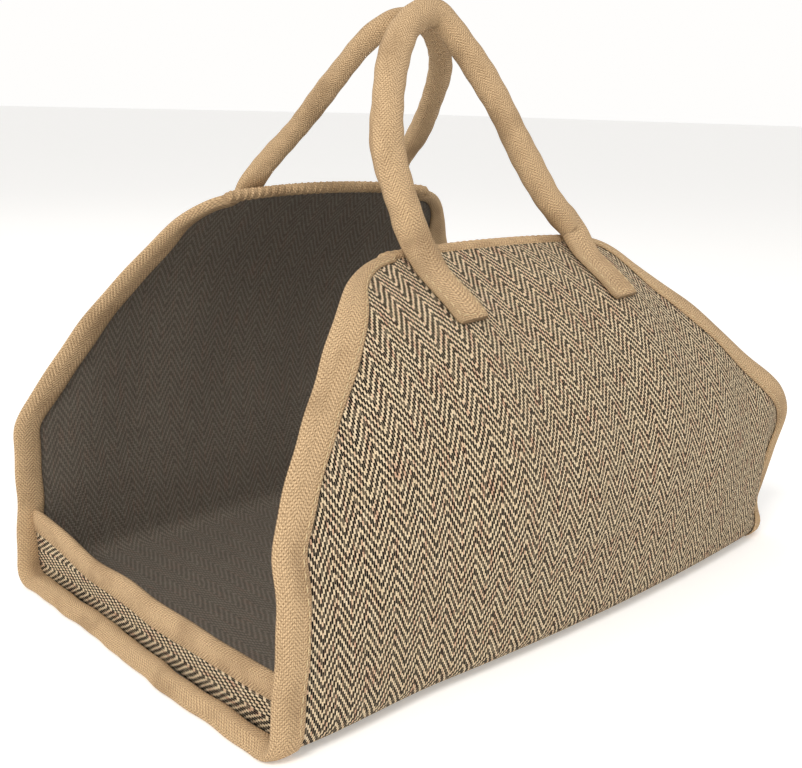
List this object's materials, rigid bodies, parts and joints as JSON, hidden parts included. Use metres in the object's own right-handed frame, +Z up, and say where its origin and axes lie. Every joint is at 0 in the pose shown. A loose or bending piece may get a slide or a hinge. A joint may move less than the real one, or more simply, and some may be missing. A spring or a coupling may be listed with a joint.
{
  "type": "firewood carrier bag",
  "caption": "Soft firewood carrier of woven jute: a sling bound with tape, low end walls, sides that fold out and padded carrying handles.",
  "frame": {"origin": "middle of the floor, on the ground", "axes": "+X along the bag, front side faces -Y, +Z up"},
  "size_m": [0.528, 0.3426, 0.4099],
  "materials": {
    "herringbone_cloth": "matt black and natural jute herringbone weave",
    "jute_tape": "matt natural jute twill tape",
    "padding_cord": "laid jute cord",
    "sewing_thread": "natural linen thread"
  },
  "bodies": {
    "base": {"floor_cloth": "herringbone_cloth", "left_end_wall": "herringbone_cloth", "right_end_wall": "herringbone_cloth", "left_end_wall_tape": "jute_tape", "right_end_wall_tape": "jute_tape", "left_floor_binding": "jute_tape", "right_floor_binding": "jute_tape"},
    "front_side": {"front_side_cloth": "herringbone_cloth", "front_left_edge_binding": "jute_tape", "front_right_edge_binding": "jute_tape", "front_top_binding": "jute_tape", "front_left_handle_tab": "jute_tape", "front_right_handle_tab": "jute_tape", "front_tab_stitching": "sewing_thread", "front_binding_stitching": "sewing_thread"},
    "front_handle": {"front_handle_cover": "jute_tape", "front_handle_cord": "padding_cord"},
    "rear_side": {"rear_side_cloth": "herringbone_cloth", "rear_left_edge_binding": "jute_tape", "rear_right_edge_binding": "jute_tape", "rear_top_binding": "jute_tape", "rear_left_handle_tab": "jute_tape", "rear_right_handle_tab": "jute_tape", "rear_tab_stitching": "sewing_thread", "rear_binding_stitching": "sewing_thread"},
    "rear_handle": {"rear_handle_cover": "jute_tape", "rear_handle_cord": "padding_cord"}
  },
  "joints": [
    {"name": "front_side_fold", "type": "hinge", "parent": "base", "child": "front_side", "pos_m": [0, -0.17021, 0.0612], "axis": [1, 0, 0], "range_deg": [0, 70]},
    {"name": "rear_side_fold", "type": "hinge", "parent": "base", "child": "rear_side", "pos_m": [0, 0.17021, 0.0612], "axis": [-1, 0, 0], "range_deg": [0, 70]},
    {"name": "front_handle_swing", "type": "hinge", "parent": "front_side", "child": "front_handle", "pos_m": [0, -0.0674, 0.26286], "axis": [1, 0, 0], "range_deg": [0, 140]},
    {"name": "rear_handle_swing", "type": "hinge", "parent": "rear_side", "child": "rear_handle", "pos_m": [0, 0.1234, 0.28708], "axis": [-1, 0, 0], "range_deg": [0, 180]}
  ]
}
